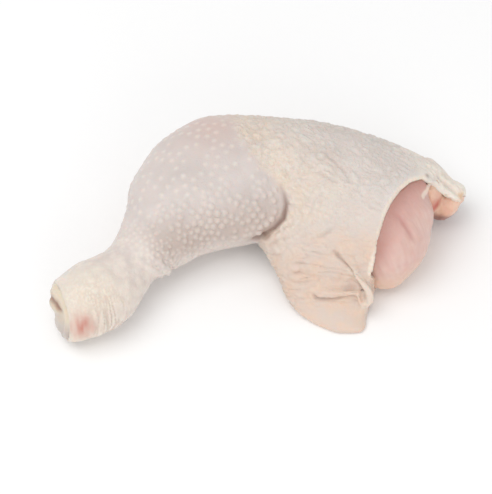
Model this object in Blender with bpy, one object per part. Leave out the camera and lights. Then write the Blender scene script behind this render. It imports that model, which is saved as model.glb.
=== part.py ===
"""A raw chicken leg quarter, lying on its inner side with the skin side up.

The finished model is in metres with +Z up and X from the hock to the hip, and its
origin is at the middle of its underside. The sizes below are in millimetres, measured
on the leg, and MM turns them to metres.
"""

import math

import bmesh
import bpy
from mathutils import Matrix, Vector

MM = 0.001

SKIN_THICK = 2.0
# Room between two pieces that touch.
GAP = 0.4

# Each ring is x, y, z of its middle, half width and half height. It stands square to
# the line through the middles.
DRUMSTICK_RINGS = [
    (-91.0, -44.4, 14.8, 12.4, 12.4),
    (-85.5, -41.9, 15.0, 14.0, 13.9),
    (-78.0, -38.3, 15.4, 15.8, 15.2),
    (-72.1, -34.8, 15.8, 16.7, 15.6),
    (-65.3, -29.4, 16.0, 15.9, 15.0),
    (-59.4, -22.8, 16.6, 13.4, 13.2),
    (-55.6, -17.7, 17.2, 12.2, 12.4),
    (-51.7, -12.3, 18.2, 13.4, 13.6),
    (-47.6, -7.3, 19.2, 16.0, 16.0),
    (-42.2, -1.3, 20.4, 19.8, 18.8),
    (-36.6, 6.4, 21.6, 25.0, 21.8),
    (-29.6, 13.6, 22.4, 29.2, 23.6),
    (-19.8, 20.4, 23.0, 31.9, 24.2),
    (-7.6, 25.8, 23.2, 32.4, 24.0),
    (0.0, 30.4, 23.0, 29.2, 23.2),
]
THIGH_RINGS = [
    (-4.0, 35.0, 21.6, 18.0, 21.4),
    (4.0, 32.4, 22.8, 22.4, 23.0),
    (15.0, 27.6, 23.4, 26.8, 23.8),
    (27.0, 23.4, 23.0, 28.8, 23.6),
    (39.5, 18.4, 22.4, 29.8, 23.3),
    (50.5, 12.6, 21.7, 30.8, 22.8),
    (61.0, 6.4, 20.9, 31.4, 22.2),
    (70.0, 1.0, 20.2, 31.4, 21.4),
]
# The knee between them: x, y, z and the half sizes along each.
KNEE = (0.5, 37.0, 23.2, 16.0, 17.0, 21.4)
# The loose flank skin in front of the thigh: y, left x, right x, lowest and highest z.
FLAP_ROWS = [
    (14.0, 4.0, 70.0, 1.0, 38.0),
    (-3.5, 1.0, 70.0, 0.0, 34.0),
    (-12.0, 4.4, 69.0, -1.0, 31.0),
    (-20.0, 8.0, 68.0, -1.5, 27.0),
    (-23.6, 9.8, 66.0, -1.8, 22.5),
    (-27.0, 11.2, 64.0, -2.0, 16.0),
    (-32.0, 15.0, 57.0, -2.0, 9.6),
    (-37.0, 21.2, 51.5, -2.0, 6.4),
    (-40.8, 27.8, 48.6, -2.0, 5.0),
    (-43.4, 33.5, 46.8, -1.6, 4.0),
]
# The flap rolls over into two low folds: a lip down to the hip and a ridge across.
LIP_RINGS = [
    (37.0, -21.2, 25.8, 1.4, 1.4),
    (41.8, -24.2, 21.6, 2.1, 2.0),
    (45.4, -26.3, 18.2, 2.7, 2.4),
    (47.8, -28.8, 13.9, 2.8, 2.6),
    (48.6, -31.2, 9.8, 2.4, 2.4),
    (48.0, -33.2, 6.8, 2.0, 2.0),
]
RIDGE_RINGS = [
    (23.0, -28.6, 12.8, 1.5, 1.5),
    (30.0, -29.8, 12.6, 2.2, 2.0),
    (37.0, -30.2, 12.8, 2.4, 2.2),
    (44.0, -30.2, 12.6, 2.2, 2.2),
]

# The hip was cut across by an upright hollow curve of this radius round this centre.
HIP_CUT_RADIUS = 65.0
HIP_CUT_CENTRE = (113.2, -43.8)
# Plan direction out of the hip cut.
HIP_OUT = Vector((0.82, -0.57, 0.0)).normalized()
# How far along HIP_OUT the skin and the muscle reach behind the swelling.
SKIN_END = 55.2
MEAT_END = 56.4
# The thigh muscle swells out of the cut: x, y, z and the half sizes out, along and up.
THIGH_MUSCLE = (61.0, -7.0, 18.6, 13.2, 18.6, 18.6)
MEAT_FLOOR = 2.2
LOW_MUSCLE = (55.6, -13.8, 11.0, 11.0, 10.4, 10.0)
# The upper strap of muscle that overlaps it, with the groove between.
STRAP_MUSCLE = (67.0, -1.4, 25.0, 8.6, 13.0, 14.0)
# The muscle ends at this upright plane, behind which the back meat lies.
MUSCLE_EDGE = Vector((74.0, 9.5, 0.0))
MUSCLE_EDGE_OUT = Vector((0.9, 0.43, 0.0)).normalized()

# The lump of back meat past the hip, under the tail of the skin.
BACK_MEAT_RINGS = [
    (70.0, 25.0, 17.5, 8.0, 11.5),
    (78.0, 23.0, 15.6, 8.2, 11.6),
    (86.2, 19.6, 12.0, 9.0, 11.7),
]
# The band of flesh that joins it to the thigh.
BACK_BAND = (74.6, 13.6, 24.5, 6.2, 7.5, 12.5)
# The skin's tail stops at this slanting plane, which leaves the lump's near side bare.
TAIL_EDGE = Vector((77.0, 19.8, 28.0))
TAIL_BARE = Vector((-7.0, -13.0, -7.5)).normalized()
# The tail's lower edge is folded over in a roll, and so is its far end.
BACK_FOLD_RINGS = [
    (73.0, 12.5, 38.4, 2.2, 2.2),
    (77.0, 15.0, 33.2, 2.8, 2.4),
    (80.2, 16.8, 28.4, 3.0, 2.6),
    (85.0, 16.4, 23.4, 3.0, 2.6),
    (88.4, 17.8, 17.6, 2.6, 2.4),
]
TAIL_END_RINGS = [
    (76.0, 27.4, 29.6, 4.2, 3.2),
    (84.0, 25.4, 22.6, 4.6, 3.4),
    (89.0, 24.6, 18.6, 4.4, 3.0),
    (92.2, 23.8, 14.6, 3.6, 2.8),
]

# The foot was cut off at this point, square to this direction out of the hock.
HOCK_CUT = Vector((-85.4, -41.6, 15.0))
HOCK_OUT = Vector((-0.91, -0.39, 0.12)).normalized()
# The joint fills the cut with a low dome: half size out and across, and how far out.
JOINT_DOME = (4.5, 12.0, -3.8)
# The dome's two knuckles: side, up and out of the cut's middle, and radius.
KNUCKLES = [(3.4, 3.7, -4.8, 8.0), (-2.6, -3.9, -4.8, 8.2)]

# Cell sizes for fusing bodies, from the coarse leg to the fine joint.
LEG_CELL = 1.6
FOLD_CELL = 1.3
LUMP_CELL = 1.2
JOINT_CELL = 0.9
# How many triangles each fused body keeps.
SKIN_TRIANGLES = 5800
MEAT_TRIANGLES = 2300
LUMP_TRIANGLES = 700
JOINT_TRIANGLES = 500
# A cutter reaches this far, past the whole leg.
REACH = 200.0
# Edges sharper than this stay sharp.
SHARP_DEGREES = 45.0


def spline(rows, steps):
    """Catmull-Rom rows between the given ones, which keep their values."""
    out = []
    last = len(rows) - 1
    for i in range(last):
        before, here = rows[max(i - 1, 0)], rows[i]
        after, beyond = rows[i + 1], rows[min(i + 2, last)]
        for k in range(steps):
            t = k / steps
            row = []
            for p, q, r, s in zip(before, here, after, beyond):
                slope, bend = r - p, 2 * p - 5 * q + 4 * r - s
                row.append(0.5 * (2 * q + slope * t + bend * t**2 + (3 * q - p - 3 * r + s) * t**3))
            out.append(tuple(row))
    out.append(tuple(float(v) for v in rows[-1]))
    return out


def add_object(name, bm):
    """The mesh in bm as an object of its own, facing out."""
    bm.normal_update()
    bmesh.ops.recalc_face_normals(bm, faces=bm.faces)
    mesh = bpy.data.meshes.new(name)
    bm.to_mesh(mesh)
    bm.free()
    made = bpy.data.objects.new(name, mesh)
    bpy.context.scene.collection.objects.link(made)
    return made


def body_from_rings(name, rings):
    """A closed body through rings of points in millimetres, with flat ends."""
    bm = bmesh.new()
    loops = [[bm.verts.new(Vector(p) * MM) for p in ring] for ring in rings]
    sides = len(loops[0])
    for first, second in zip(loops, loops[1:]):
        for k in range(sides):
            n = (k + 1) % sides
            bm.faces.new((first[k], first[n], second[n], second[k]))
    bm.faces.new(loops[0][::-1])
    bm.faces.new(loops[-1])
    return add_object(name, bm)


def ellipse(mid, side, up, sides=40):
    """A ring of points round mid, reaching side and up."""
    turns = [2 * math.pi * k / sides for k in range(sides)]
    return [mid + side * math.cos(turn) + up * math.sin(turn) for turn in turns]


def tube(name, rows, inset=0.0, start_dome=0.5, end_dome=0.5, steps=4):
    """A body of round section along its rows of x, y, z, half width and half height."""
    rows = spline(rows, steps)
    mids = [Vector(row[:3]) for row in rows]
    last = len(rows) - 1
    rings = []
    for i, row in enumerate(rows):
        along = (mids[min(i + 1, last)] - mids[max(i - 1, 0)]).normalized()
        side = along.cross(Vector((0, 0, 1))).normalized()
        up = side.cross(along).normalized()
        wide, tall = row[3] - inset, row[4] - inset
        turns = [math.pi / 2]
        reach = 0.0
        if i == 0:
            turns = [math.pi / 2 * k / 6 for k in range(1, 7)]
            reach = -start_dome * wide
        elif i == last:
            turns = [math.pi / 2 * k / 6 for k in range(6, 0, -1)]
            reach = end_dome * wide
        for turn in turns:
            mid = mids[i] + along * reach * math.cos(turn)
            rings.append(ellipse(mid, side * wide * math.sin(turn), up * tall * math.sin(turn)))
    return body_from_rings(name, rings)


def flap(name, rows, steps=4):
    """A flat body across the rows of y, left x, right x, lowest and highest z."""
    rings = []
    for y, left, right, low, high in spline(rows, steps):
        mid = Vector(((left + right) / 2, y, (low + high) / 2))
        rings.append(ellipse(mid, Vector(((right - left) / 2, 0, 0)), Vector((0, 0, (high - low) / 2))))
    return body_from_rings(name, rings)


def ball(name, middle, sizes, facing=Vector((1, 0, 0)), inset=0.0):
    """An ellipsoid whose half sizes run along facing, level beside it, and up."""
    bm = bmesh.new()
    bmesh.ops.create_uvsphere(bm, u_segments=32, v_segments=20, radius=1.0)
    half = [(size - inset) * MM for size in sizes]
    turn = Matrix.Rotation(math.atan2(facing.y, facing.x), 4, "Z")
    bm.transform(Matrix.Translation(Vector(middle) * MM) @ turn @ Matrix.Diagonal((*half, 1.0)))
    return add_object(name, bm)


def apply_modifiers(body):
    """The body's mesh becomes what its modifiers make of it."""
    shape = body.evaluated_get(bpy.context.evaluated_depsgraph_get())
    mesh = bpy.data.meshes.new_from_object(shape)
    body.modifiers.clear()
    body.data = mesh


def combine(body, other, how):
    """Joins or cuts a body with another, which is used up."""
    step = body.modifiers.new("Boolean", "BOOLEAN")
    step.operation = how
    step.solver = "EXACT"
    step.object = other
    apply_modifiers(body)
    bpy.data.objects.remove(other)


def copy_of(body, name, swell=0.0):
    """A copy of a body, its surface moved out by swell millimetres."""
    bm = bmesh.new()
    bm.from_mesh(body.data)
    bm.normal_update()
    for vert in bm.verts:
        vert.co += vert.normal * vert.calc_shell_factor() * swell * MM
    return add_object(name, bm)


def fuse(name, pieces, cell, passes):
    """One smooth body out of overlapping ones, which are used up."""
    bm = bmesh.new()
    for piece in pieces:
        bm.from_mesh(piece.data)
        bpy.data.objects.remove(piece)
    body = add_object(name, bm)
    grid = body.modifiers.new("Remesh", "REMESH")
    grid.mode = "VOXEL"
    grid.voxel_size = cell * MM
    smooth = body.modifiers.new("Smooth", "SMOOTH")
    smooth.factor = 0.5
    smooth.iterations = passes
    apply_modifiers(body)
    return body


def thin_out(body, triangles):
    """Brings a body to about this many triangles."""
    bm = bmesh.new()
    bm.from_mesh(body.data)
    bmesh.ops.triangulate(bm, faces=bm.faces)
    bm.to_mesh(body.data)
    bm.free()
    step = body.modifiers.new("Decimate", "DECIMATE")
    step.ratio = min(1.0, triangles / len(body.data.polygons))
    apply_modifiers(body)


def keep_largest(body):
    """Drops loose scraps that a cut has left."""
    bm = bmesh.new()
    bm.from_mesh(body.data)
    left = set(bm.verts)
    groups = []
    while left:
        group = {left.pop()}
        edge = set(group)
        while edge:
            edge = {e.other_vert(v) for v in edge for e in v.link_edges} & left
            group |= edge
            left -= edge
        groups.append(group)
    groups.sort(key=len)
    for group in groups[:-1]:
        bmesh.ops.delete(bm, geom=list(group), context="VERTS")
    bm.to_mesh(body.data)
    bm.free()


def hip_cutter():
    """Everything past the upright hollow cut at the hip."""
    bm = bmesh.new()
    radius = HIP_CUT_RADIUS * MM
    bmesh.ops.create_cone(bm, cap_ends=True, segments=96, radius1=radius, radius2=radius, depth=REACH * MM)
    bm.transform(Matrix.Translation((HIP_CUT_CENTRE[0] * MM, HIP_CUT_CENTRE[1] * MM, 0)))
    return add_object("hip_cutter", bm)


def slab(name, point, out):
    """A cutter that fills the side of a plane that out points to."""
    bm = bmesh.new()
    bmesh.ops.create_cube(bm, size=2 * REACH * MM)
    turn = out.to_track_quat("X", "Z").to_matrix().to_4x4()
    bm.transform(Matrix.Translation((Vector(point) + out * REACH) * MM) @ turn)
    return add_object(name, bm)


def cut_below(body, height):
    """A flat underside at this height."""
    combine(body, slab("below", Vector((0, 0, height)), Vector((0, 0, -1))), "DIFFERENCE")


def make_meat():
    """The muscle inside the skin, swelling out of the cut at the hip."""
    core = [
        tube("drumstick_core", DRUMSTICK_RINGS[2:], inset=SKIN_THICK, start_dome=0.1),
        tube("thigh_core", THIGH_RINGS, inset=SKIN_THICK, end_dome=0.1),
        ball("knee_core", KNEE[:3], KNEE[3:], inset=SKIN_THICK),
    ]
    meat = fuse("meat", core, LEG_CELL, 8)
    combine(meat, slab("end", HIP_OUT * MEAT_END, HIP_OUT), "DIFFERENCE")
    muscles = [
        meat,
        ball("muscle", THIGH_MUSCLE[:3], THIGH_MUSCLE[3:], HIP_OUT),
        ball("low", LOW_MUSCLE[:3], LOW_MUSCLE[3:], HIP_OUT),
        ball("strap", STRAP_MUSCLE[:3], STRAP_MUSCLE[3:], HIP_OUT),
    ]
    meat = fuse("meat", muscles, FOLD_CELL, 5)
    thin_out(meat, MEAT_TRIANGLES)
    combine(meat, slab("far_side", MUSCLE_EDGE, MUSCLE_EDGE_OUT), "DIFFERENCE")
    cut_below(meat, MEAT_FLOOR)
    return meat


def make_skin():
    """The outer form with the loose flank and back skin, still without its inside."""
    thigh = tube("thigh", THIGH_RINGS)
    combine(thigh, slab("past_hip", HIP_OUT * SKIN_END, HIP_OUT), "DIFFERENCE")
    leg = [
        tube("drumstick", DRUMSTICK_RINGS, start_dome=0.1),
        thigh,
        ball("knee", KNEE[:3], KNEE[3:]),
        flap("flap", FLAP_ROWS),
    ]
    skin = fuse("skin", leg, LEG_CELL, 6)
    combine(skin, hip_cutter(), "DIFFERENCE")
    combine(skin, slab("foot", HOCK_CUT, HOCK_OUT), "DIFFERENCE")
    tail = tube("tail", BACK_MEAT_RINGS, inset=-SKIN_THICK - GAP)
    combine(tail, slab("bare", TAIL_EDGE, TAIL_BARE), "DIFFERENCE")
    folds = [
        skin,
        tail,
        tube("lip", LIP_RINGS),
        tube("ridge", RIDGE_RINGS),
        tube("back_fold", BACK_FOLD_RINGS),
        tube("tail_end", TAIL_END_RINGS),
    ]
    skin = fuse("skin", folds, FOLD_CELL, 3)
    thin_out(skin, SKIN_TRIANGLES)
    cut_below(skin, 0)
    return skin


def make_hock_joint():
    """The gristle with its two knuckles that shows where the foot was cut off."""
    side = HOCK_OUT.cross(Vector((0, 0, 1))).normalized()
    deep, wide, out = JOINT_DOME
    knuckles = [ball("dome", HOCK_CUT + HOCK_OUT * out, (deep, wide, wide), HOCK_OUT)]
    for across, up, out, radius in KNUCKLES:
        middle = HOCK_CUT + side * across + Vector((0, 0, up)) + HOCK_OUT * out
        knuckles.append(ball("knuckle", middle, (radius, radius, radius), HOCK_OUT))
    joint = fuse("hock_joint", knuckles, JOINT_CELL, 2)
    thin_out(joint, JOINT_TRIANGLES)
    return joint


def make_back_meat():
    """The lump of back meat and fat on the far side of the hip cut."""
    flesh = [tube("lump", BACK_MEAT_RINGS), ball("band", BACK_BAND[:3], BACK_BAND[3:], HIP_OUT)]
    lump = fuse("back_meat", flesh, LUMP_CELL, 3)
    thin_out(lump, LUMP_TRIANGLES)
    cut_below(lump, 0)
    return lump


def add_material(body, name, colour, roughness):
    """A plain finish: sRGB colour from 0 to 1, not metal."""
    finish = bpy.data.materials.new(name)
    finish.use_nodes = True
    shader = finish.node_tree.nodes["Principled BSDF"]
    linear = [c / 12.92 if c <= 0.04045 else ((c + 0.055) / 1.055) ** 2.4 for c in colour]
    shader.inputs["Base Color"].default_value = (*linear, 1.0)
    shader.inputs["Roughness"].default_value = roughness
    shader.inputs["Metallic"].default_value = 0.0
    body.data.materials.clear()
    body.data.materials.append(finish)


def place_origin(bodies):
    """Moves the bodies so that the origin is the middle of their underside."""
    corners = [vert.co for body in bodies for vert in body.data.vertices]
    middle = Vector([(min(c[k] for c in corners) + max(c[k] for c in corners)) / 2 for k in range(3)])
    middle.z = min(c.z for c in corners)
    for body in bodies:
        body.data.transform(Matrix.Translation(-middle))


def main():
    for old in list(bpy.data.objects):
        bpy.data.objects.remove(old)
    meat = make_meat()
    skin = make_skin()
    joint = make_hock_joint()
    lump = make_back_meat()
    rooms = [copy_of(inner, "room", GAP) for inner in (meat, joint, lump)]
    combine(lump, copy_of(meat, "meat_room", GAP), "DIFFERENCE")
    combine(meat, copy_of(joint, "joint_room", GAP), "DIFFERENCE")
    for room in rooms:
        combine(skin, room, "DIFFERENCE")
    for body in (skin, meat, joint, lump):
        keep_largest(body)
        body.data.shade_smooth()
        body.data.set_sharp_from_angle(angle=math.radians(SHARP_DEGREES))
    add_material(skin, "chicken_skin", (0.87, 0.81, 0.76), 0.42)
    add_material(meat, "raw_meat", (0.84, 0.69, 0.66), 0.35)
    add_material(joint, "gristle", (0.88, 0.84, 0.74), 0.35)
    add_material(lump, "back_meat_and_fat", (0.87, 0.68, 0.57), 0.38)
    place_origin([skin, meat, joint, lump])


main()
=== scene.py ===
"""A raw chicken leg quarter on a white table, seen from above and in front.

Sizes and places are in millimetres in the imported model's frame: X from the hock to the
hip, +Z up, with the origin at the middle of the underside. MM turns them to metres.
"""

import math

import bmesh
import bpy
import numpy as np
from mathutils import Matrix, Vector
from mathutils.bvhtree import BVHTree
from mathutils.noise import noise as perlin, voronoi


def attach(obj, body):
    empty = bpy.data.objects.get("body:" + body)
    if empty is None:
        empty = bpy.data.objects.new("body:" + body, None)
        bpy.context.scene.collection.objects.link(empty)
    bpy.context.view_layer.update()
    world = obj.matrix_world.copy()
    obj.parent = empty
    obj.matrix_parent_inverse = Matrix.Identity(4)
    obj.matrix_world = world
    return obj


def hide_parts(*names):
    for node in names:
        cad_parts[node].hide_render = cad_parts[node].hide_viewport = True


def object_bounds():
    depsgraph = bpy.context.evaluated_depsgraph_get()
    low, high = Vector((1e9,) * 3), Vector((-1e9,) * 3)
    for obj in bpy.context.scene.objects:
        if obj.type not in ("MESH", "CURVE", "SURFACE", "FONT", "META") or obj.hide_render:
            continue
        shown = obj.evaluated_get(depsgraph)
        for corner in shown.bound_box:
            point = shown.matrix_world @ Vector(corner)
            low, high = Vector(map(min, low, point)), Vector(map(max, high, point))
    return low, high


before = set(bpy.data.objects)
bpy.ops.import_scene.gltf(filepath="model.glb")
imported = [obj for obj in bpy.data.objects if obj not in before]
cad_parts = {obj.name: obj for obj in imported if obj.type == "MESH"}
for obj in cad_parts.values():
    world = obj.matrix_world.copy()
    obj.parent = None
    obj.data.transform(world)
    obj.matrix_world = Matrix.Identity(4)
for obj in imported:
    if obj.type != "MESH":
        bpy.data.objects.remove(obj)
cad_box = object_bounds()

MM = 0.001

# The camera looks at this point from this far and this high over the table.
VIEW_TARGET = (-7.21, 2.79, 0.0)
VIEW_DISTANCE = 1000.0
VIEW_ELEVATION = math.radians(55)
# The photo's height in pixels and what one of them covers at the leg.
PHOTO_HEIGHT = 494
PIXEL = 0.45
FILM = 36.0

# The middle of the leg from the hock, through the knee, to the hip.
LEG_LINE = [
    (-93.0, -45.0, 15.0),
    (-74.0, -35.6, 15.8),
    (-61.3, -23.6, 16.6),
    (-53.6, -13.1, 18.2),
    (-44.0, -2.1, 20.4),
    (-31.5, 12.8, 22.4),
    (-9.5, 25.0, 23.2),
    (2.1, 31.6, 22.8),
    (25.1, 22.6, 23.0),
    (48.6, 11.8, 21.7),
    (68.1, 0.2, 20.2),
]
# Plan points (y, x) of the line where the lean calf meets the fat over the thigh.
CALF_EDGE = [
    (-20.0, -4.0),
    (-8.0, -4.0),
    (-6.0, 3.5),
    (-3.8, 7.4),
    (-0.8, 9.6),
    (1.9, 10.4),
    (5.1, 8.2),
    (9.5, 4.3),
    (13.8, -0.1),
    (22.9, -7.5),
    (30.3, -11.5),
    (46.7, -16.0),
]
HIP_OUT = np.array((0.821, -0.571, 0.0))
HIP_ACROSS = np.array((0.571, 0.821, 0.0))
HOCK_OUT = np.array((-0.912, -0.391, 0.12))
# How far out the skin's rim lies over the meat, by the place across the hip. It is cut
# back only above this height.
RIM_REACH = [
    (3.0, 56.0),
    (5.2, 52.8),
    (9.8, 51.9),
    (16.6, 49.6),
    (23.0, 47.8),
    (30.2, 46.7),
    (37.4, 46.7),
    (43.9, 47.8),
    (48.6, 50.0),
    (52.0, 54.0),
]
RIM_LOW = 16.0

# How far out and how high the block reaches that cuts the rim back.
CUTTER_REACH = 90.0
CUTTER_TOP = 60.0

# The lines of the creases, point by point on the surface.
CALF_CREASE = [
    (-4.6, -7.5, 20.1),
    (-0.2, -7.0, 22.4),
    (5.2, -5.6, 26.6),
    (9.0, -2.5, 29.7),
    (10.3, 1.4, 34.0),
    (9.4, 4.4, 37.3),
    (7.6, 7.8, 40.0),
    (4.1, 9.5, 41.3),
]
ROLL_CREASE = [
    (29.2, -16.8, 28.9),
    (31.6, -19.2, 27.7),
    (34.8, -23.1, 26.0),
    (38.8, -26.2, 22.4),
    (40.0, -28.0, 20.0),
    (42.8, -30.2, 16.2),
    (44.6, -32.0, 12.9),
    (45.0, -33.0, 10.0),
]
RIDGE_CREASE = [
    (21.6, -30.6, 13.4),
    (23.6, -31.9, 10.1),
    (27.3, -32.5, 10.4),
    (31.5, -32.8, 10.8),
    (37.9, -32.7, 12.4),
    (42.6, -32.5, 12.4),
    (44.2, -33.8, 9.0),
]
UPPER_CREASE = [(34.6, -30.7, 14.8), (38.1, -29.5, 15.4), (41.8, -29.6, 17.0)]
# Slight creases over the thigh and across the loose skin in front of it.
SLIGHT_CREASES = [
    [
        (15.1, 21.8, 46.8),
        (18.5, 16.1, 45.7),
        (24.2, 11.4, 44.6),
        (30.6, 7.2, 43.7),
        (34.9, 5.7, 43.5),
    ],
    [
        (24.4, 24.8, 46.6),
        (29.5, 18.5, 46.1),
        (34.6, 13.1, 45.3),
        (38.0, 6.5, 43.9),
        (41.0, 4.2, 43.4),
    ],
    [(21.9, -12.7, 29.7), (26.3, -12.3, 30.6), (29.3, -10.5, 31.9), (33.6, -10.1, 33.5)],
    [(0.7, -8.2, 20.3), (5.5, -7.6, 25.5), (9.8, -6.5, 28.5), (14.6, -5.4, 30.8)],
    [(1.6, -10.1, 18.5), (6.3, -10.5, 24.3), (12.4, -11.1, 27.4)],
    [(2.5, -12.2, 16.8), (5.9, -15.5, 19.9), (9.4, -16.6, 22.4)],
    [(7.6, 15.1, 44.1), (10.7, 10.8, 42.6), (14.6, 7.7, 41.6)],
    [(28.5, -26.4, 18.2), (32.0, -27.0, 17.5), (35.9, -26.8, 17.9)],
    [(11.1, -20.7, 20.5), (15.9, -21.5, 22.5), (20.6, -22.4, 23.1)],
    [(9.8, -22.9, 16.8), (16.3, -24.4, 19.0), (22.8, -24.7, 20.3)],
    [(12.0, -25.6, 14.6), (18.5, -26.8, 15.6), (24.2, -26.5, 17.5)],
]
TAIL_CREASE = [
    (72.8, 18.4, 38.3),
    (76.6, 17.2, 35.0),
    (80.5, 16.6, 29.8),
    (84.4, 15.6, 26.2),
    (87.6, 15.2, 24.0),
]
MEAT_GROOVE = [
    (55.0, -4.0, 42.0),
    (58.6, -7.8, 38.5),
    (61.2, -11.1, 36.4),
    (64.3, -14.8, 32.6),
    (66.8, -16.0, 28.5),
]
HOCK_CREVICE = [
    (-91.8, -36.6, 19.6),
    (-91.0, -39.4, 21.2),
    (-89.2, -42.4, 21.6),
    (-88.0, -44.6, 20.0),
]
# Each crease's line, its width and depth, the height and width of the skin that rolls up on
# the line's left, how dark the valley gets, and how far it takes to form and to end.
SKIN_CREASES = [
    (CALF_CREASE, 1.3, 1.3, 0.9, 3.2, 0.5, 1.5, 34.0),
    (CALF_CREASE, 0.9, 0.8, 0.0, 1.0, 0.9, 0.8, 18.0),
    (ROLL_CREASE, 0.8, 1.2, 0.3, 1.6, 0.45, 6.0, 3.0),
    (RIDGE_CREASE, 0.8, 1.1, 0.2, 1.2, 0.35, 3.0, 3.0),
    (UPPER_CREASE, 0.9, 0.7, 0.2, 1.2, 0.15, 3.0, 3.0),
    (TAIL_CREASE, 0.8, 0.5, 0.0, 1.0, 0.12, 3.0, 3.0),
    *[(line, 0.8, 0.5, 0.2, 1.4, 0.1, 5.0, 5.0) for line in SLIGHT_CREASES],
]
# Rolls of skin: rows of a middle and a radius, one list to each roll.
MEAT_STRAND = [
    (73.9, 12.0, 37.0, 0.45),
    (72.4, 8.6, 37.2, 0.5),
    (71.4, 6.2, 37.3, 0.4),
    (70.2, 5.0, 37.6, 0.35),
    (69.4, 3.2, 37.7, 0.3),
]
RIM_ROLL = [
    (70.4, 12.2, 39.2, 0.6),
    (68.6, 11.3, 40.0, 0.8),
    (64.2, 9.0, 41.2, 0.85),
    (59.7, 4.4, 41.6, 0.85),
    (55.6, -1.5, 40.9, 0.85),
    (52.4, -7.8, 38.8, 0.85),
    (50.3, -13.8, 35.0, 0.85),
    (48.4, -20.5, 27.8, 0.95),
    (46.8, -24.8, 19.4, 1.1),
]
SKIN_ROLLS = [
    [
        (38.0, -25.8, 22.2, 0.6),
        (40.4, -27.6, 21.2, 1.4),
        (42.8, -29.2, 19.6, 1.8),
        (45.0, -30.6, 17.6, 1.9),
        (46.8, -32.2, 14.8, 2.1),
        (47.0, -34.0, 11.6, 1.9),
        (45.4, -35.2, 8.8, 1.2),
    ],
    [
        (40.8, -31.8, 14.8, 0.8),
        (42.0, -33.0, 12.2, 1.3),
        (43.2, -34.4, 9.2, 1.3),
        (44.0, -35.6, 6.6, 0.7),
    ],
    [
        (24.8, -30.8, 12.6, 0.9),
        (31.0, -31.4, 13.2, 1.4),
        (37.8, -31.4, 14.8, 1.5),
        (42.6, -31.6, 14.8, 1.4),
    ],
    [(46.9, -26.4, 19.4, 0.9), (47.9, -27.3, 17.8, 1.3), (48.6, -27.2, 16.0, 0.8)],
    [
        (73.5, 27.4, 31.0, 1.8),
        (79.5, 25.6, 27.0, 2.2),
        (84.8, 22.4, 24.6, 2.4),
        (89.2, 18.4, 22.6, 2.0),
    ],
    [
        (72.4, 20.0, 37.4, 1.4),
        (78.2, 19.0, 31.0, 2.0),
        (83.6, 18.0, 26.4, 2.2),
        (88.6, 16.2, 22.6, 1.8),
    ],
    [
        (70.8, 10.9, 40.1, 1.1),
        (75.2, 12.0, 35.8, 1.6),
        (79.2, 12.7, 30.6, 1.9),
        (82.8, 13.0, 26.4, 2.0),
        (86.0, 13.2, 23.0, 1.9),
        (88.8, 14.2, 21.0, 1.5),
    ],
    [
        (73.6, 15.4, 37.0, 0.9),
        (75.6, 15.2, 35.0, 1.3),
        (78.4, 15.6, 31.0, 1.3),
        (82.4, 15.6, 26.0, 1.1),
    ],
    [
        (-47.0, -15.6, 31.6, 0.8),
        (-45.2, -17.9, 29.4, 1.6),
        (-41.9, -19.0, 25.6, 1.9),
        (-38.8, -18.6, 19.4, 1.8),
        (-38.0, -17.0, 13.0, 1.0),
    ],
    [
        (-50.0, -19.4, 29.0, 0.8),
        (-48.3, -21.1, 26.6, 1.5),
        (-45.1, -21.6, 23.1, 1.8),
        (-42.0, -21.0, 17.0, 1.8),
        (-41.0, -19.4, 11.4, 1.0),
    ],
    [
        (-52.9, -23.2, 27.0, 0.8),
        (-49.9, -24.6, 23.6, 1.3),
        (-46.1, -23.9, 19.4, 1.5),
        (-44.0, -22.2, 13.6, 1.0),
    ],
    [
        (-86.6, -34.2, 26.8, 1.0),
        (-84.6, -41.0, 28.2, 1.3),
        (-82.8, -46.4, 26.8, 1.4),
        (-82.1, -50.6, 22.2, 1.4),
        (-81.4, -53.4, 16.0, 1.4),
        (-81.0, -52.6, 9.4, 1.2),
    ],
    RIM_ROLL,
]
# How many sides a roll's tube has.
ROLL_SIDES = 14

# The follicles' domes by zone: least spacing, radius at the foot, height, and seed.
GOOSE_BUMPS = [
    ("domes", 2.9, 2.2, 1.35, 3),
    ("spots", 4.2, 1.8, 0.4, 4),
    ("neck", 2.2, 1.5, 0.4, 5),
    ("knee", 2.8, 2.0, 0.55, 8),
]
# The least share of a zone at which follicles sit, and how many lie in a square metre
# before their spacing thins them.
FOLLICLE_ZONE = 0.12
FOLLICLE_DENSITY = 4.0e6
# Turns the thigh's web of wrinkles so that it slants down to the hip.
WEB_TURN = np.array(Matrix.Rotation(math.radians(42), 3, "Z"))
# How bright the white surroundings are.
WORLD_LIGHT = 0.72


def add_object(name, data):
    made = bpy.data.objects.new(name, data)
    bpy.context.scene.collection.objects.link(made)
    return made


def plain(body):
    """The body's mesh becomes what its modifiers make of it."""
    shape = body.evaluated_get(bpy.context.evaluated_depsgraph_get())
    mesh = bpy.data.meshes.new_from_object(shape)
    body.modifiers.clear()
    body.data = mesh
    return body


def even_out(body, cell, passes):
    """Meshes a body anew in even cells and smooths it."""
    grid = body.modifiers.new("Grid", "REMESH")
    grid.mode = "VOXEL"
    grid.voxel_size = cell * MM
    smooth = body.modifiers.new("Smooth", "SMOOTH")
    smooth.factor = 0.5
    smooth.iterations = passes
    return plain(body)


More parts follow.
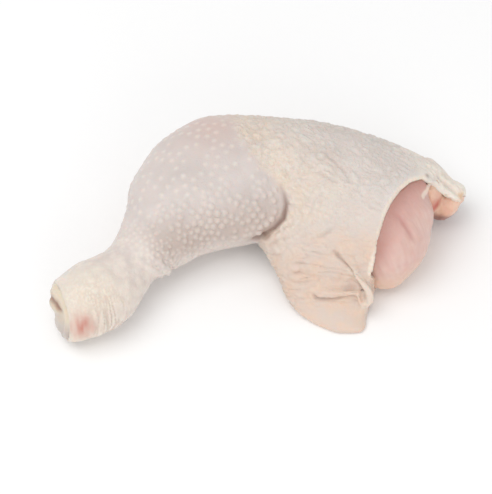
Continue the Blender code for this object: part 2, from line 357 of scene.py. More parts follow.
def add_roll(bm, rows):
    """A closed tube along rows of a middle and a radius."""
    rows = np.array(rows)
    steps = np.linspace(0, len(rows) - 1, 4 * len(rows))
    rows = np.column_stack([np.interp(steps, range(len(rows)), column) for column in rows.T])
    rings = []
    for k, row in enumerate(rows):
        ahead = Vector(rows[min(k + 1, len(rows) - 1), :3] - rows[max(k - 1, 0), :3])
        turn = ahead.to_track_quat("Z", "Y").to_matrix()
        ring = []
        for step in range(ROLL_SIDES):
            angle = 2 * math.pi * step / ROLL_SIDES
            out = turn @ Vector((math.cos(angle), math.sin(angle), 0))
            ring.append(bm.verts.new((Vector(row[:3]) + out * row[3]) * MM))
        rings.append(ring)
    for first, second in zip(rings, rings[1:]):
        for a in range(ROLL_SIDES):
            b = (a + 1) % ROLL_SIDES
            bm.faces.new((first[a], first[b], second[b], second[a]))
    bm.faces.new(rings[0][::-1])
    bm.faces.new(rings[-1])


def join_rolls(body, rolls, cell, passes):
    """The rolls grow together with the body."""
    bm = bmesh.new()
    bm.from_mesh(body.data)
    for rows in rolls:
        add_roll(bm, rows)
    bm.to_mesh(body.data)
    bm.free()
    return even_out(body, cell, passes)


def rim_cutter():
    """A block over the meat, whose near side follows the rim of the skin."""
    plan = RIM_REACH + [(RIM_REACH[-1][0], CUTTER_REACH), (RIM_REACH[0][0], CUTTER_REACH)]
    bm = bmesh.new()
    floors = []
    for height in (RIM_LOW, CUTTER_TOP):
        ring = []
        for across, out in plan:
            x, y, _ = across * HIP_ACROSS + out * HIP_OUT
            ring.append(bm.verts.new((x * MM, y * MM, height * MM)))
        floors.append(ring)
    bm.faces.new(floors[0])
    bm.faces.new(floors[1][::-1])
    count = len(plan)
    for a in range(count):
        b = (a + 1) % count
        bm.faces.new((floors[0][a], floors[1][a], floors[1][b], floors[0][b]))
    bmesh.ops.recalc_face_normals(bm, faces=bm.faces)
    mesh = bpy.data.meshes.new("rim_cutter")
    bm.to_mesh(mesh)
    bm.free()
    return add_object("rim_cutter", mesh)


def even_body(name, node, cell, passes, cutter=None):
    """A finely and evenly meshed body of a node's form."""
    bm = bmesh.new()
    bm.from_mesh(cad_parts[node].data)
    bmesh.ops.remove_doubles(bm, verts=bm.verts, dist=0.001 * MM)
    mesh = bpy.data.meshes.new(name)
    bm.to_mesh(mesh)
    bm.free()
    body = add_object(name, mesh)
    if cutter:
        cut = body.modifiers.new("Cut", "BOOLEAN")
        cut.operation = "DIFFERENCE"
        cut.solver = "EXACT"
        cut.object = cutter
        plain(body)
        bpy.data.objects.remove(cutter)
    return even_out(body, cell, passes)


def thin_out(body, weight, ratio):
    """Drops triangles, first those where the weight of the vertices is 1."""
    group = body.vertex_groups.new(name="hidden")
    for level in np.unique(weight):
        group.add(np.flatnonzero(weight == level).tolist(), float(level), "REPLACE")
    body.modifiers.new("Triangles", "TRIANGULATE")
    step = body.modifiers.new("Thin", "DECIMATE")
    step.ratio = ratio
    step.vertex_group = group.name
    plain(body)
    body.vertex_groups.clear()


def places(body):
    """Where the body's points are, in millimetres, and which way the surface faces there."""
    count = len(body.data.vertices)
    co, normal = np.empty(count * 3), np.empty(count * 3)
    body.data.vertices.foreach_get("co", co)
    body.data.vertices.foreach_get("normal", normal)
    return co.reshape(-1, 3) / MM, normal.reshape(-1, 3)


def move_points(body, points):
    """Puts the body's points where they belong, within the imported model's box."""
    points = np.clip(points, np.array(cad_box[0]) / MM, np.array(cad_box[1]) / MM)
    body.data.vertices.foreach_set("co", (points * MM).ravel())
    body.data.update()


def keep(body, name, values):
    """Stores a value for each point, which a material or a node tree reads by its name."""
    data = body.data.attributes
    row = data.get(name) or data.new(name, "FLOAT", "POINT")
    row.data.foreach_set("value", np.clip(values, 0, 1).astype(np.float32))


def fade(values, low, high):
    """A smooth step from 0 at low to 1 at high."""
    t = np.clip((values - low) / (high - low), 0, 1)
    return t * t * (3 - 2 * t)


def rough(points, size, seed):
    """Smooth noise from -1 to 1 whose features are about size millimetres across."""
    scaled = (points / np.array(size) + 13.7 * seed).tolist()
    return 1.6 * np.array([perlin(p) for p in scaled])


def to_line(points, line):
    """Each point's distance from a line, how far along it is, and the way to it."""
    line = np.array(line, float)
    best = np.full(len(points), 1e9)
    along = np.zeros(len(points))
    away = np.zeros((len(points), 3))
    passed = 0.0
    for a, b in zip(line, line[1:]):
        length = np.linalg.norm(b - a)
        t = np.clip((points - a) @ (b - a) / length**2, 0, 1)
        offset = points - a - t[:, None] * (b - a)
        distance = np.linalg.norm(offset, axis=1)
        closer = distance < best
        best[closer] = distance[closer]
        along[closer] = passed + t[closer] * length
        away[closer] = offset[closer]
        passed += length
    return best, along, away, passed


def gap_to(points, line):
    """How far each point is from a line."""
    return to_line(points, line)[0]


def spine(roll):
    """The middle line of a roll."""
    return [row[:3] for row in roll]


def crease(points, normals, line, width, depth, lip, lip_width, start, end):
    """How far a crease moves the surface, and how deep in its valley each point lies."""
    distance, along, away, length = to_line(points, line)
    line = np.array(line, float)
    heading = line[-1] - line[0]
    side = np.sign(np.einsum("ij,ij->i", np.cross(normals, heading), away))
    ends = fade(along, 0, start) * fade(length - along, 0, end)
    valley = np.exp(-((distance / width) ** 2)) * ends
    roll = np.exp(-(((side * distance - width - lip_width) / lip_width) ** 2)) * ends
    return lip * roll - depth * valley, valley


def cells(points, size, seed, soft):
    """0 in the grooves between irregular cells of about size millimetres, 1 inside them."""
    bend = np.column_stack([rough(points, 2.2 * np.array(size), seed + k) for k in (1, 2, 3)])
    scaled = points / np.array(size) + 0.35 * bend + 7.3 * seed
    gap = []
    for p in scaled.tolist():
        near = voronoi(p)[0]
        gap.append(near[1] - near[0])
    return fade(np.array(gap), 0.0, soft)


def nearness(points, places, size):
    """1 at any of the places, fading to 0 about size millimetres away."""
    out = np.zeros(len(points))
    for place in places:
        out = np.maximum(out, np.exp(-(((points - place) / size) ** 2).sum(1)))
    return out


def away_from(nodes, points):
    """The way to each point from the nearest place on some nodes, how long it is, and how
    far outside them the point lies."""
    bm = bmesh.new()
    for name in nodes:
        bm.from_mesh(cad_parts[name].data)
    tree = BVHTree.FromBMesh(bm)
    found = [tree.find_nearest(p)[:2] for p in (points * MM).tolist()]
    bm.free()
    offset = points - np.array([place for place, normal in found]) / MM
    clear = np.einsum("ij,ij->i", offset, np.array([normal for place, normal in found]))
    return offset, np.linalg.norm(offset, axis=1), clear


def outside(points, normals):
    """1 on the side of the skin that shows, 0 on the side that lies on what is inside."""
    offset, gap, clear = away_from(("meat", "back_meat", "hock_joint"), points)
    facing = np.einsum("ij,ij->i", normals, offset) / np.maximum(gap, 1e-9)
    return np.maximum(fade(facing, -0.1, 0.4) * fade(clear, 0.0, 0.12), fade(gap, 1.4, 2.0))


def drawn_in(points):
    """The points with the corner behind the tail's tip drawn in, which leaves it pointed."""
    corner = nearness(points, [(88.0, 25.0, 22.5)], 6.0)
    return points - 2.4 * corner[:, None] * (0.6, 0.655, 0.459)


# Nodes


def node(tree, kind, inputs=None, **settings):
    """Adds a node. An input is given a value, or the output of another node."""
    made = tree.nodes.new(kind)
    for name, value in settings.items():
        setattr(made, name, value)
    for key, value in (inputs or {}).items():
        if isinstance(value, bpy.types.NodeSocket):
            tree.links.new(value, made.inputs[key])
        else:
            made.inputs[key].default_value = value
    return made


def product(tree, first, second):
    """The product of two values, each a number or the output of a node."""
    return node(tree, "ShaderNodeMath", {0: first, 1: second}, operation="MULTIPLY").outputs[0]


def linear(code):
    """An sRGB hex colour as the linear values that Blender mixes."""
    parts = [int(code[k:k + 2], 16) / 255 for k in (0, 2, 4)]
    return (*[p / 12.92 if p <= 0.04045 else ((p + 0.055) / 1.055) ** 2.4 for p in parts], 1.0)


def goose_bump_tree():
    """Domes over the follicles of a zone, at an even but irregular spacing."""
    tree = bpy.data.node_groups.new("goose_bumps", "GeometryNodeTree")
    tree.is_modifier = True
    face = tree.interface
    face.new_socket("Geometry", in_out="INPUT", socket_type="NodeSocketGeometry")
    for name, kind in (
        ("Zone", "NodeSocketString"),
        ("Spacing", "NodeSocketFloat"),
        ("Radius", "NodeSocketFloat"),
        ("Height", "NodeSocketFloat"),
        ("Seed", "NodeSocketInt"),
        ("Skin", "NodeSocketMaterial"),
    ):
        face.new_socket(name, in_out="INPUT", socket_type=kind)
    face.new_socket("Geometry", in_out="OUTPUT", socket_type="NodeSocketGeometry")
    given = node(tree, "NodeGroupInput").outputs
    zone = node(
        tree, "GeometryNodeInputNamedAttribute", {"Name": given["Zone"]}, data_type="FLOAT"
    ).outputs["Attribute"]
    there = node(
        tree, "ShaderNodeMath", {0: zone, 1: FOLLICLE_ZONE}, operation="GREATER_THAN"
    )
    follicles = node(
        tree,
        "GeometryNodeDistributePointsOnFaces",
        {
            "Mesh": given["Geometry"],
            "Selection": there.outputs[0],
            "Distance Min": given["Spacing"],
            "Density Max": FOLLICLE_DENSITY,
            "Seed": given["Seed"],
        },
        distribute_method="POISSON",
    )
    spots = {"Geometry": follicles.outputs["Points"]}
    near = node(tree, "GeometryNodeProximity", spots, target_element="POINTS")
    nearest = node(tree, "GeometryNodeSampleNearest", spots, domain="POINT")
    uneven = node(
        tree,
        "FunctionNodeRandomValue",
        {2: 0.6, 3: 1.0, "ID": nearest.outputs["Index"], "Seed": given["Seed"]},
        data_type="FLOAT",
    )
    dome = node(
        tree,
        "ShaderNodeMapRange",
        {0: near.outputs["Distance"], 1: 0.0, 2: given["Radius"], 3: 1.0, 4: 0.0},
        interpolation_type="SMOOTHSTEP",
    )
    size = product(tree, uneven.outputs[1], zone)
    rise = product(tree, dome.outputs[0], size)
    height = product(tree, rise, given["Height"])
    normal = node(tree, "GeometryNodeInputNormal")
    lift = node(
        tree, "ShaderNodeVectorMath", {0: normal.outputs[0], "Scale": height}, operation="SCALE"
    )
    moved = node(
        tree,
        "GeometryNodeSetPosition",
        {"Geometry": given["Geometry"], "Offset": lift.outputs[0]},
    )
    before = node(
        tree, "GeometryNodeInputNamedAttribute", {"Name": "dot"}, data_type="FLOAT"
    ).outputs["Attribute"]
    top = node(tree, "ShaderNodeMath", {0: rise, 1: before}, operation="MAXIMUM")
    stored = node(
        tree,
        "GeometryNodeStoreNamedAttribute",
        {"Geometry": moved.outputs["Geometry"], "Name": "dot", "Value": top.outputs[0]},
        data_type="FLOAT",
        domain="POINT",
    )
    real = node(tree, "GeometryNodeRealizeInstances", {"Geometry": stored.outputs["Geometry"]})
    dressed = node(
        tree,
        "GeometryNodeSetMaterial",
        {"Geometry": real.outputs["Geometry"], "Material": given["Skin"]},
    )
    node(tree, "NodeGroupOutput", {"Geometry": dressed.outputs["Geometry"]})
    return tree


def set_inputs(step, **values):
    """Sets a node modifier's inputs by their names."""
    sockets = {
        item.name: item.identifier
        for item in step.node_group.interface.items_tree
        if item.in_out == "INPUT"
    }
    for name, value in values.items():
        step[sockets[name]] = value


# Materials


def material(name):
    """A new material, its node tree and its shader."""
    made = bpy.data.materials.new(name)
    made.use_nodes = True
    tree = made.node_tree
    return made, tree, tree.nodes["Principled BSDF"]


def attribute(tree, name):
    """A value that the piece keeps for each point."""
    return node(tree, "ShaderNodeAttribute", attribute_name=name).outputs["Fac"]


def speckle(tree, size, detail=2.0, low=0.35, high=0.65):
    """Noise from 0 to 1 in patches of this many millimetres."""
    where = node(tree, "ShaderNodeTexCoord").outputs["Object"]
    cloud = node(
        tree, "ShaderNodeTexNoise", {"Vector": where, "Scale": 1 / (size * MM), "Detail": detail}
    )
    return node(
        tree, "ShaderNodeMapRange", {0: cloud.outputs["Fac"], 1: low, 2: high}
    ).outputs[0]


def mixed(tree, amount, first, second):
    """A colour between two, each a hex code or the output of a node."""
    pair = [linear(c) if isinstance(c, str) else c for c in (first, second)]
    mix = node(tree, "ShaderNodeMix", {0: amount, 6: pair[0], 7: pair[1]}, data_type="RGBA")
    return mix.outputs[2]


def bumps(tree, heights):
    """Fine relief: each height is an output, with how many millimetres it rises."""
    normal = None
    for height, rise in heights:
        step = node(
            tree, "ShaderNodeBump", {"Height": height, "Distance": rise * MM, "Strength": 1.0}
        )
        if normal is not None:
            tree.links.new(normal, step.inputs["Normal"])
        normal = step.outputs["Normal"]
    return normal


def moist(shader, roughness, depth, weight, coat):
    """What raw skin and meat share: water near the surface and light that spreads inside."""
    shader.inputs["Roughness"].default_value = roughness
    shader.inputs["IOR"].default_value = 1.4
    shader.inputs["Subsurface Weight"].default_value = weight
    shader.inputs["Subsurface Radius"].default_value = (1.0, 0.45, 0.3)
    shader.inputs["Subsurface Scale"].default_value = depth * MM
    shader.inputs["Coat Weight"].default_value = coat
    shader.inputs["Coat Roughness"].default_value = 0.22


def chicken_skin():
    """Raw plucked skin: thin and moist, cream where fat lies under it, greyish pink over
    lean muscle, with a pale dome over each follicle."""
    made, tree, shader = material("raw_chicken_skin")
    colour = mixed(tree, speckle(tree, 14), "cfc5c0", "d8cdc8")
    # Painted shade over the front of the calf's belly, where it turns away from the light.
    colour = mixed(tree, product(tree, attribute(tree, "dusk"), 0.75), colour, "bba89d")
    # A darker painted shadow in a ring round each dome on the shaded calf.
    dome_shadow = node(tree, "ShaderNodeMath", {0: attribute(tree, "dot"), 1: 0.25}, operation="PINGPONG")
    colour = mixed(tree, product(tree, dome_shadow.outputs[0], attribute(tree, "dusk")), colour, "94796c")
    # Pinker skin at the knee's upper side, and pink painted shade beside the calf crease's low end.
    colour = mixed(tree, attribute(tree, "pink"), colour, "d6c0b8")
    thigh = mixed(tree, speckle(tree, 12), "d9d2cc", "dfd7d1")
    fat = product(tree, speckle(tree, 6, low=0.1), attribute(tree, "fat"))
    thigh = mixed(tree, fat, thigh, "e5d5c3")
    loose = mixed(tree, speckle(tree, 7), "dac9bd", "e2c9b6")
    thigh = mixed(tree, attribute(tree, "rosy"), thigh, loose)
    thigh = mixed(tree, attribute(tree, "tail"), thigh, "f5ece0")
    grey = product(tree, attribute(tree, "grey"), speckle(tree, 3, low=0.2))
    thigh = mixed(tree, grey, thigh, "dccdc4")
    colour = mixed(tree, attribute(tree, "thigh"), colour, thigh)
    mottled = mixed(tree, speckle(tree, 4), "d6cac4", "e5dad1")
    # Paler, mottled skin at the neck, and painted light from below on the calf's low side.
    colour = mixed(tree, attribute(tree, "pale"), colour, mottled)
    colour = mixed(tree, attribute(tree, "cream"), colour, "eae0d1")
    colour = mixed(tree, product(tree, attribute(tree, "dot"), 0.7), colour, "eae0d6")
    colour = mixed(tree, attribute(tree, "bruise"), colour, "c98375")
    # Darker, pinker skin in the wrinkles' valleys: part the skin's tint there, part painted shade.
    colour = mixed(tree, product(tree, attribute(tree, "wrinkle"), 0.4), colour, "c6aa9b")
    colour = mixed(tree, attribute(tree, "shade"), colour, "8f7064")
    colour = mixed(tree, attribute(tree, "amber"), colour, "dba872")
    # Pale cream at the skin's cut rim, and a painted highlight along the rolled lip.
    colour = mixed(tree, attribute(tree, "rim"), colour, "ecdfd0")
    tree.links.new(colour, shader.inputs["Base Color"])
    grain = speckle(tree, 0.9, detail=3.0, low=0.2, high=0.8)
    where = node(tree, "ShaderNodeTexCoord").outputs["Object"]
    to_edge = node(
        tree,
        "ShaderNodeTexVoronoi",
        {"Vector": where, "Scale": 1 / (1.7 * MM)},
        feature="DISTANCE_TO_EDGE",
    )
    web = node(tree, "ShaderNodeMapRange", {0: to_edge.outputs["Distance"], 1: 0.0, 2: 0.16})
    fine = product(tree, web.outputs[0], attribute(tree, "web"))
    tree.links.new(bumps(tree, [(grain, 0.12), (fine, 0.1)]), shader.inputs["Normal"])
    moist(shader, roughness=0.48, depth=1.0, weight=0.25, coat=0.15)
    return made


def raw_meat():
    """Bare thigh muscle under its thin clear membrane: smooth, wet and pink."""
    made, tree, shader = material("raw_thigh_meat")
    colour = mixed(tree, speckle(tree, 12), "dcbab0", "e1c4ba")
    colour = mixed(tree, product(tree, attribute(tree, "fibre"), 0.35), colour, "cd9e93")
    colour = mixed(tree, attribute(tree, "deep"), colour, "cfa59c")
    colour = mixed(tree, attribute(tree, "peach"), colour, "dfbfab")
    colour = mixed(tree, product(tree, attribute(tree, "rim_shade"), 0.65), colour, "ac7a6e")
    colour = mixed(tree, attribute(tree, "shade"), colour, "bd7f7a")
    colour = mixed(tree, attribute(tree, "strand"), colour, "eadbcb")
    tree.links.new(colour, shader.inputs["Base Color"])
    grain = speckle(tree, 1.2, low=0.2, high=0.8)
    tree.links.new(bumps(tree, [(grain, 0.06)]), shader.inputs["Normal"])
    moist(shader, roughness=0.42, depth=3.0, weight=0.4, coat=0.12)
    return made


def gristle():
    """Cartilage and bone end of the hock: dense, smooth and off-white."""
    made, tree, shader = material("hock_gristle")
    colour = mixed(tree, speckle(tree, 6), "dccdb8", "e2d4bf")
    colour = mixed(tree, attribute(tree, "low"), colour, "c5bab2")
    colour = mixed(tree, attribute(tree, "shade"), colour, "8f6454")
    tree.links.new(colour, shader.inputs["Base Color"])
    grain = speckle(tree, 1.5, low=0.2, high=0.8)
    tree.links.new(bumps(tree, [(grain, 0.08)]), shader.inputs["Normal"])
    moist(shader, roughness=0.34, depth=1.5, weight=0.3, coat=0.35)
    return made


def back_meat():
    """A lump of pale back meat with fat and a little blood in it."""
    made, tree, shader = material("back_meat_and_fat")
    colour = mixed(tree, speckle(tree, 5), "e3b79f", "ecc9b2")
    colour = mixed(tree, attribute(tree, "blood"), colour, "bc5542")
    colour = mixed(tree, attribute(tree, "shade"), colour, "8f5a50")
    tree.links.new(colour, shader.inputs["Base Color"])
    grain = speckle(tree, 1.4, low=0.2, high=0.8)
    tree.links.new(bumps(tree, [(grain, 0.1)]), shader.inputs["Normal"])
    moist(shader, roughness=0.36, depth=2.5, weight=0.4, coat=0.3)
    return made


def table_top():
    """The white sheet that the leg lies on."""
    made, _, shader = material("white_table")
    shader.inputs["Base Color"].default_value = linear("fdfdfd")
    shader.inputs["Roughness"].default_value = 0.9
    return made


# Pieces


def skin_zones(points, normals):
    """How much each point belongs to each kind of skin, from 0 to 1."""
    edge_y, edge_x = np.array(CALF_EDGE).T
    past = points[:, 0] - np.interp(points[:, 1], edge_y, edge_x)
    past += 1.6 * rough(points, 5, 1) + 0.8 * rough(points, 2, 2)
    along = to_line(points, LEG_LINE)[1]
    soft = 7 * fade(points[:, 1], 32, 48)
    thigh = fade(past, -2.4 - soft, 3.6 + soft)
    calf = 1 - thigh
    outer = outside(points, normals)
    upward = fade(normals[:, 2], -0.6, 0.1)
    # No domes right beside the crease between calf and thigh.
    smooth = fade(gap_to(points, CALF_CREASE), 1.0, 2.4)
    inside = fade(0.28 * points[:, 0] - points[:, 1] + 2.5 * rough(points, 9, 3), -14, 0)
    belly = calf * fade(along, 46, 60)
    low = fade(-points[:, 1] - 0.4 * points[:, 2], 25, 34)
    hock = nearness(points, [(-79.0, -50.0, 15.0), (-75.0, -43.0, 27.0)], (17.0, 14.0, 16.0))
    return {
        "past": past,
        "outer": outer,
        "thigh": thigh,
        "flap": fade(3 * rough(points, 12, 14) - points[:, 1], 0, 24) * thigh,
        "tip": fade(-points[:, 1], 31, 38) * thigh,
        "tail": fade(points[:, 0] + 0.4 * points[:, 1] + 2 * rough(points, 8, 12), 68, 88),
        # Pale: the neck's own paler skin, and painted light from below on the calf's low side.
        "pale": calf * np.maximum(fade(60 - along, 0, 18), 0.8 * fade(20 - points[:, 2], -8, 8)),
        "cream": calf * hock,
        # Painted shade over the front of the calf's belly.
        "dusk": belly * fade(0.28 * points[:, 0] - points[:, 1], -9, 9) * fade(points[:, 2], 12, 30),
        "rings": nearness(points, [(-66.5, -48.0, 17.0)], (8.0, 12.0, 11.0)) * low,
        "scaly": nearness(points, [(-72.0, -43.5, 28.5)], (13.0, 9.0, 9.0)),
        "domes": belly * inside * fade(along, 48, 66) * upward * smooth * outer,
        "spots": belly * (1 - inside) * smooth * outer,
        "neck": calf * inside * fade(along, 42, 50) * fade(66 - along, 0, 10) * outer,
        "knee": thigh * fade(34 - past, 0, 24) * fade(points[:, 1], -16, -6) * smooth * outer,
    }


def wrinkles(points, zone):
    """Depth of the skin's fine wrinkles in millimetres."""
    turned = points @ WEB_TURN.T
    patchy = 0.75 + 0.35 * rough(points, 11, 8)
    leather = (1 - cells(turned, (6.0, 3.3, 3.3), 4, 0.6)) * patchy
    leather += 0.3 * (1 - cells(turned, (2.6, 1.7, 1.7), 5, 0.5))
    lines = np.abs(rough(points, (13.0, 2.4, 2.4), 7))
    across = np.column_stack([points @ HOCK_OUT, 0.12 * points[:, 2], 0.12 * points[:, 1]])
    rings = np.abs(rough(across, 1.5, 9))
    scales = 1 - cells(points, (1.2, 2.6, 2.0), 11, 0.42)
    smooth = (1 - zone["flap"]) * (1 - 0.5 * zone["tail"])
    from_rim = fade(gap_to(points, spine(RIM_ROLL)), 1.0, 5.0)
    coarse = np.maximum(smooth, 0.6 * (1 - zone["tip"]))
    return (
        0.78 * leather * zone["thigh"] * coarse * from_rim
        + 0.55 * (1 - fade(lines, 0.0, 0.3)) * zone["flap"] * (1 - zone["tip"]) * patchy
        + 0.8 * (1 - fade(rings, 0.0, 0.45)) * zone["rings"]
        + 0.36 * scales * zone["scaly"]
    )


def make_skin():
    """The skin of the whole leg, with its goose bumps, wrinkles and folds."""
    body = even_body("skin_outside", "skin", cell=0.7, passes=8, cutter=rim_cutter())
    join_rolls(body, SKIN_ROLLS, cell=0.64, passes=3)
    # Fewer triangles where the skin lies on what is inside it or on the table.
    points, normals = places(body)
    deep = (points @ HIP_OUT < 47) & (points @ HOCK_OUT < 88)
    under = (normals[:, 2] < -0.35) & (points[:, 2] < 9)
    inner = (outside(points, normals) < 0.5) & deep
    thin_out(body, np.where(inner, 1.0, np.where(under, 0.85, 0.0)), ratio=0.49)

    points, normals = places(body)
    zone = skin_zones(points, normals)
    skin_material = chicken_skin()
    tree = goose_bump_tree()
    keep(body, "dot", np.zeros(len(points)))
    for name, spacing, radius, height, seed in GOOSE_BUMPS:
        keep(body, name, zone[name])
        step = body.modifiers.new(name, "NODES")
        step.node_group = tree
        set_inputs(
            step,
            Zone=name,
            Spacing=spacing * MM,
            Radius=radius * MM,
            Height=height * MM,
            Seed=seed,
            Skin=skin_material,
        )
    plain(body)

    points, normals = places(body)
    shift = 0.5 * rough(points, 20, 2) + 0.22 * rough(points, 7, 3)
    shift *= fade(points[:, 2], 3, 12)
    among_domes = 0.15 * rough(points, 1.9, 15) * zone["domes"]
    shift += among_domes + 0.2 * rough(points, 3.4, 16) * zone["pale"]
    shift += 0.5 * zone["thigh"] * fade(34 - zone["past"], 0, 20)
    kneecap = 1.3 * nearness(points, [(-29, 45, 37)], 11)
    dip = 0.8 * nearness(points, [(-15, 49, 37)], 8)
    shift += kneecap - dip
    # Dark in the pit at the rim's upper end, in the creases and in the notch by the calf.
    shade = 0.6 * nearness(points, [(72.2, 12.9, 40.0)], 1.1)
    for line, width, depth, lip, lip_width, tint, start, end in SKIN_CREASES:
        by, valley = crease(points, normals, line, width, depth, lip, lip_width, start, end)
        shift += by
        shade = np.maximum(shade, tint * valley)
    notch = nearness(points, [(-3.0, -7.6, 20.4), (1.5, -6.8, 23.0)], 2.8)
    shade = np.maximum(shade, 0.6 * notch)
    fine = wrinkles(points, zone)
    shift = (shift - fine) * zone["outer"]
    points = points + normals * shift[:, None]
    # The calf's low edge beside the notch and the flap's lower corner draw back a little.
    points[:, 1] += 1.2 * nearness(points, [(-5.0, -9.0, 16.0)], (10.0, 6.0, 8.0))
    points = drawn_in(points)
    edge = nearness(points, [(46.5, -38.0, 4.5)], (5.0, 4.5, 4.0))
    move_points(body, points - 1.8 * edge[:, None] * HIP_OUT)

    # What the skin's material reads.
    past, thigh = zone["past"], zone["thigh"]
    keep(body, "thigh", thigh)
    keep(body, "web", thigh * (1 - 0.8 * zone["flap"]))
    keep(body, "fat", thigh * np.exp(-((past / 24) ** 2)) * fade(points[:, 1], -22, -6))
    # Beside the calf crease's low end: part the skin's own pink, part painted shade of the crease.
    crease_pink_and_shade = 0.6 * nearness(points, [(1.5, -6.5, 22.5), (6.0, -5.5, 27.5)], 5.5)
    keep(body, "pink", nearness(points, [(-22, 38, 43), (-14, 42, 40)], 15) + crease_pink_and_shade)
    keep(body, "rosy", zone["flap"])
    keep(body, "tail", zone["tail"])
    # The neck's paler skin, and painted light from below on the calf's low side.
    keep(body, "pale", zone["pale"])
    keep(body, "cream", zone["cream"])
    # Painted shade over the front of the calf's belly.
    keep(body, "dusk", zone["dusk"])
    streaks = 0.95 + 0.4 * rough(points, (1.5, 4.0, 9.0), 17)
    keep(body, "bruise", nearness(points, [(-77.2, -53.2, 19.0)], (5.0, 5, 6.5)) * streaks)
    keep(body, "grey", nearness(points, [(74, 28, 34), (79, 28, 29), (84, 27, 26)], 4.0))
    # Darker skin in the wrinkles' valleys: part tint, part painted shade.
    keep(body, "wrinkle", 2.2 * fine * (1 - 0.72 * zone["thigh"]))
    keep(body, "shade", shade)
    keep(body, "amber", 0.75 * nearness(points, [(87.6, 14.6, 22.6)], (3.4, 2.2, 1.6)))
    rim = 1 - fade(gap_to(points, spine(RIM_ROLL)), 1.0, 1.9)
    # The rolled lip gets a painted highlight; the rim's cut edge is pale cream of its own.
    lip = 1 - fade(gap_to(points, spine(SKIN_ROLLS[0])), 1.6, 2.4)
    keep(body, "rim", np.maximum(rim, 0.4 * lip))
    body.data.shade_smooth()
    return body


def fibre_axes():
    """Axes whose third runs along the fibres of the thigh muscle, down and to the right."""
    along = Vector((0.35, -0.35, -0.87)).normalized()
    turn = along.to_track_quat("Z", "Y").to_matrix()
    return np.array(turn.transposed())


def make_meat():
    """The bare muscle at the hip, with its groove, its fibres and a torn strand of skin."""
    body = even_body("thigh_muscle", "meat", cell=0.65, passes=12)
    join_rolls(body, [MEAT_STRAND], cell=0.6, passes=2)
    # Fewer triangles where the skin covers the muscle.
    covered = places(body)[0] @ HIP_OUT < 43
    thin_out(body, np.where(covered, 1.0, 0.0), ratio=0.35)
    points, normals = places(body)
    shift, shade = crease(
        points,
        normals,
        MEAT_GROOVE,
        width=1.3,
        depth=0.6,
        lip=0.2,
        lip_width=1.8,
        start=12.0,
        end=6.0,
    )
    turned = points @ fibre_axes().T
    shift += 0.18 * rough(points, 9, 21) + 0.1 * rough(turned, (1.1, 1.1, 14.0), 22)
    shift *= fade(points @ HIP_OUT, 44, 47)
    shift += 0.45
    move_points(body, points + normals * shift[:, None])
    keep(body, "shade", 0.5 * shade)
    near_rim = 1 - fade(gap_to(points, spine(RIM_ROLL)), 0.5, 8)
    keep(body, "rim_shade", near_rim * fade(points[:, 2], 14, 30))
    keep(body, "deep", fade(58 - points @ HIP_OUT, -4, 6) * fade(points[:, 2], 14, 34))
    keep(body, "peach", fade(24 - points[:, 2], 0, 18))
    keep(body, "fibre", 0.5 + 0.5 * rough(turned, (1.3, 1.3, 16.0), 24))
    keep(body, "strand", 0.8 - 0.8 * fade(gap_to(points, spine(MEAT_STRAND)), 0.9, 1.6))
    body.data.shade_smooth()
    body.data.materials.append(raw_meat())
    return body


def make_hock():
    """The knuckles of the bone under cartilage, and the dark crevice between them."""
    body = even_body("hock_cartilage", "hock_joint", cell=0.4, passes=4)
    points, normals = places(body)
    to_skin = away_from(["skin"], points)[1]
    shift = 0.35 * rough(points, 4, 31) + 1.0 * (1 - fade(to_skin, 0.8, 2.4))
    crevice = np.exp(-((gap_to(points, HOCK_CREVICE) / 1.7) ** 2))
    move_points(body, points + normals * (shift - 1.1 * crevice)[:, None])
    keep(body, "low", fade(17 - points[:, 2], -4, 6))
    keep(body, "shade", 0.85 * crevice)
    body.data.shade_smooth()
    body.data.materials.append(gristle())
    return body


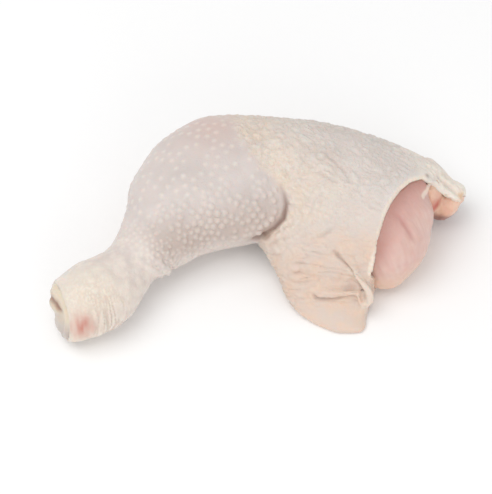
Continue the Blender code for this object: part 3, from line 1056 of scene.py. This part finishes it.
def make_lump():
    """The lump of back meat under the tail."""
    body = even_body("back_lump", "back_meat", cell=0.45, passes=4)
    points, normals = places(body)
    to_skin = away_from(["skin"], points)[1]
    shift = 0.35 * rough(points, 5, 41) + 0.12 * rough(points, (1.2, 1.2, 6), 42)
    shift += 0.5 * (1 - fade(to_skin, 0.8, 2.5))
    shift -= 1.3 * fade(normals[:, 2], 0.5, 0.8) * fade(points[:, 2], 20, 24)
    move_points(body, drawn_in(drawn_in(points + normals * shift[:, None])))
    keep(body, "blood", nearness(points, [(76.9, 8.6, 23.3)], (5.2, 4.6, 4.2)))
    keep(body, "shade", 0.9 * fade(15.5 - points[:, 2] + rough(points, 4, 44), 0, 6))
    body.data.shade_smooth()
    body.data.materials.append(back_meat())
    return body


# Camera, light and table


def make_camera():
    """A long lens at the photo's angle."""
    data = bpy.data.cameras.new("camera")
    camera = add_object("camera", data)
    back = Vector((0, -math.cos(VIEW_ELEVATION), math.sin(VIEW_ELEVATION)))
    camera.location = (Vector(VIEW_TARGET) + back * VIEW_DISTANCE) * MM
    camera.rotation_euler = (math.pi / 2 - VIEW_ELEVATION, 0, 0)
    data.sensor_width = FILM
    data.lens = FILM * VIEW_DISTANCE / (PHOTO_HEIGHT * PIXEL)
    data.clip_end = 20
    bpy.context.scene.camera = camera


def add_light(name, place, size, power):
    """A square softbox aimed at the leg; place and size are in metres."""
    data = bpy.data.lights.new(name, "AREA")
    data.size = size
    data.energy = power
    light = add_object(name, data)
    light.location = place
    light.rotation_euler = Vector(place).to_track_quat("Z", "Y").to_euler()


def make_studio():
    """White surroundings, a softbox from above and one from the front, and the table."""
    world = bpy.data.worlds.new("studio")
    world.use_nodes = True
    world.node_tree.nodes["Background"].inputs["Color"].default_value = linear("ffffff")
    world.node_tree.nodes["Background"].inputs["Strength"].default_value = WORLD_LIGHT
    bpy.context.scene.world = world
    add_light("key", place=(-0.38, -0.15, 1.05), size=0.8, power=4.4)
    add_light("fill", place=(0.35, -1.0, 0.35), size=0.8, power=2.2)
    mesh = bpy.data.meshes.new("table")
    half = 1.5
    corners = [(-half, -half, 0), (half, -half, 0), (half, half, 0), (-half, half, 0)]
    mesh.from_pydata(corners, [], [(0, 1, 2, 3)])
    floor = add_object("table", mesh)
    mesh.materials.append(table_top())
    bpy.context.scene.view_settings.view_transform = "Standard"


make_camera()
for body, name in (
    (make_skin(), "skin"),
    (make_meat(), "meat"),
    (make_hock(), "hock_joint"),
    (make_lump(), "back_meat"),
):
    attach(body, "root")
    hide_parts(name)
make_studio()
